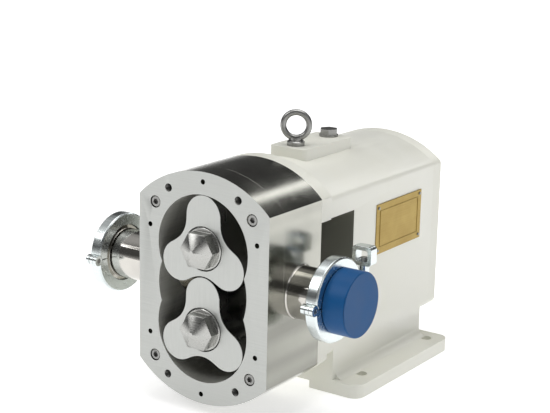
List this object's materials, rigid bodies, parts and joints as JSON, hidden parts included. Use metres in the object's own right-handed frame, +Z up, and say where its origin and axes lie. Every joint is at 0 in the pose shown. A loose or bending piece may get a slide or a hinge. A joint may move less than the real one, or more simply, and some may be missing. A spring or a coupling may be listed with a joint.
{
  "type": "rotary lobe pump",
  "caption": "Sanitary rotary lobe pump: open-fronted stainless head with meshing lobe rotors, clamped side ports and a cast gearbox on feet with a rear drive shaft.",
  "frame": {"origin": "centre of the four foot holes on the base plane", "axes": "+Z up, shafts along Y with the rotors towards -Y and the drive end towards +Y, ports along X"},
  "size_m": [0.2995, 0.417, 0.277],
  "materials": {
    "brushed_steel": "ground and brushed stainless",
    "polished_steel": "polished stainless",
    "rotor_steel": "fine machined stainless",
    "shaft_steel": "ground steel",
    "cast_clamp": "cast and tumbled stainless",
    "cream_paint": "semi-gloss off-white paint over cast iron",
    "brass_plate": "brushed brass",
    "dark_screws": "stainless fastener",
    "black_rubber": "seal rubber",
    "white_rubber": "gasket rubber",
    "blue_plastic": "moulded plastic",
    "sight_glass": "clear"
  },
  "bodies": {
    "frame": {"gearbox_housing": "cream_paint", "front_ring": "brushed_steel", "rotor_case": "brushed_steel", "ring_screws": "dark_screws", "back_cover": "cream_paint", "back_cover_screws": "dark_screws", "nameplate": "brass_plate", "nameplate_rivets": "brass_plate", "eyebolt": "dark_screws", "filler_plug": "dark_screws", "drain_plug": "dark_screws", "sight_glass_rim": "dark_screws", "sight_glass": "sight_glass", "bearing_outer_rings": "shaft_steel", "bearing_lip_seals": "black_rubber", "drive_lip_seal": "black_rubber", "seal_seats": "black_rubber", "right_port": "polished_steel", "right_gasket": "white_rubber", "right_clamp_lower": "cast_clamp", "right_clamp_upper": "cast_clamp", "right_hinge_pin": "cast_clamp", "right_bolt_pin": "cast_clamp", "left_port": "polished_steel", "left_gasket": "white_rubber", "left_clamp_lower": "cast_clamp", "left_clamp_upper": "cast_clamp", "left_hinge_pin": "cast_clamp", "left_bolt_pin": "cast_clamp"},
    "drive_train": {"drive_shaft": "shaft_steel", "upper_rotor": "rotor_steel", "upper_rotor_nut": "rotor_steel", "drive_gear": "shaft_steel", "drive_rotor_key": "shaft_steel", "drive_gear_key": "shaft_steel", "drive_lock_nut": "shaft_steel", "drive_bearing_inner_rings": "shaft_steel", "drive_bearing_spacer": "shaft_steel", "drive_seal_head": "shaft_steel"},
    "driven_train": {"driven_shaft": "shaft_steel", "lower_rotor": "rotor_steel", "lower_rotor_nut": "rotor_steel", "driven_gear": "shaft_steel", "driven_rotor_key": "shaft_steel", "driven_gear_key": "shaft_steel", "driven_lock_nut": "shaft_steel", "driven_bearing_inner_rings": "shaft_steel", "driven_bearing_spacer": "shaft_steel", "driven_seal_head": "shaft_steel"},
    "plug": {"port_plug": "blue_plastic"},
    "right_bolt": {"right_swing_bolt": "cast_clamp"},
    "right_nut": {"right_wing_nut": "cast_clamp"},
    "left_bolt": {"left_swing_bolt": "cast_clamp"},
    "left_nut": {"left_wing_nut": "cast_clamp"}
  },
  "joints": [
    {"name": "drive_shaft_spin", "type": "hinge", "parent": "frame", "child": "drive_train", "pos_m": [0, 0, 0.165], "axis": [0, 1, 0], "continuous": true},
    {"name": "driven_shaft_spin", "type": "hinge", "parent": "frame", "child": "driven_train", "pos_m": [0, 0, 0.085], "axis": [0, 1, 0], "continuous": true},
    {"name": "port_plug_pull", "type": "slide", "parent": "frame", "child": "plug", "axis": [1, 0, 0], "range_m": [0, 0.04]},
    {"name": "right_bolt_swing", "type": "hinge", "parent": "frame", "child": "right_bolt", "pos_m": [0.1135, -0.118, 0.116], "axis": [-1, 0, 0], "range_deg": [0, 90]},
    {"name": "right_wing_nut_spin", "type": "hinge", "parent": "right_bolt", "child": "right_nut", "pos_m": [0.1135, -0.118, 0.15], "axis": [0, 0, 1], "continuous": true},
    {"name": "left_bolt_swing", "type": "hinge", "parent": "frame", "child": "left_bolt", "pos_m": [-0.1455, -0.118, 0.116], "axis": [-1, 0, 0], "range_deg": [0, 90]},
    {"name": "left_wing_nut_spin", "type": "hinge", "parent": "left_bolt", "child": "left_nut", "pos_m": [-0.1455, -0.118, 0.15], "axis": [0, 0, 1], "continuous": true}
  ],
  "couplings": [
    {"joint": "driven_shaft_spin", "follows": "drive_shaft_spin", "ratio": -1}
  ]
}
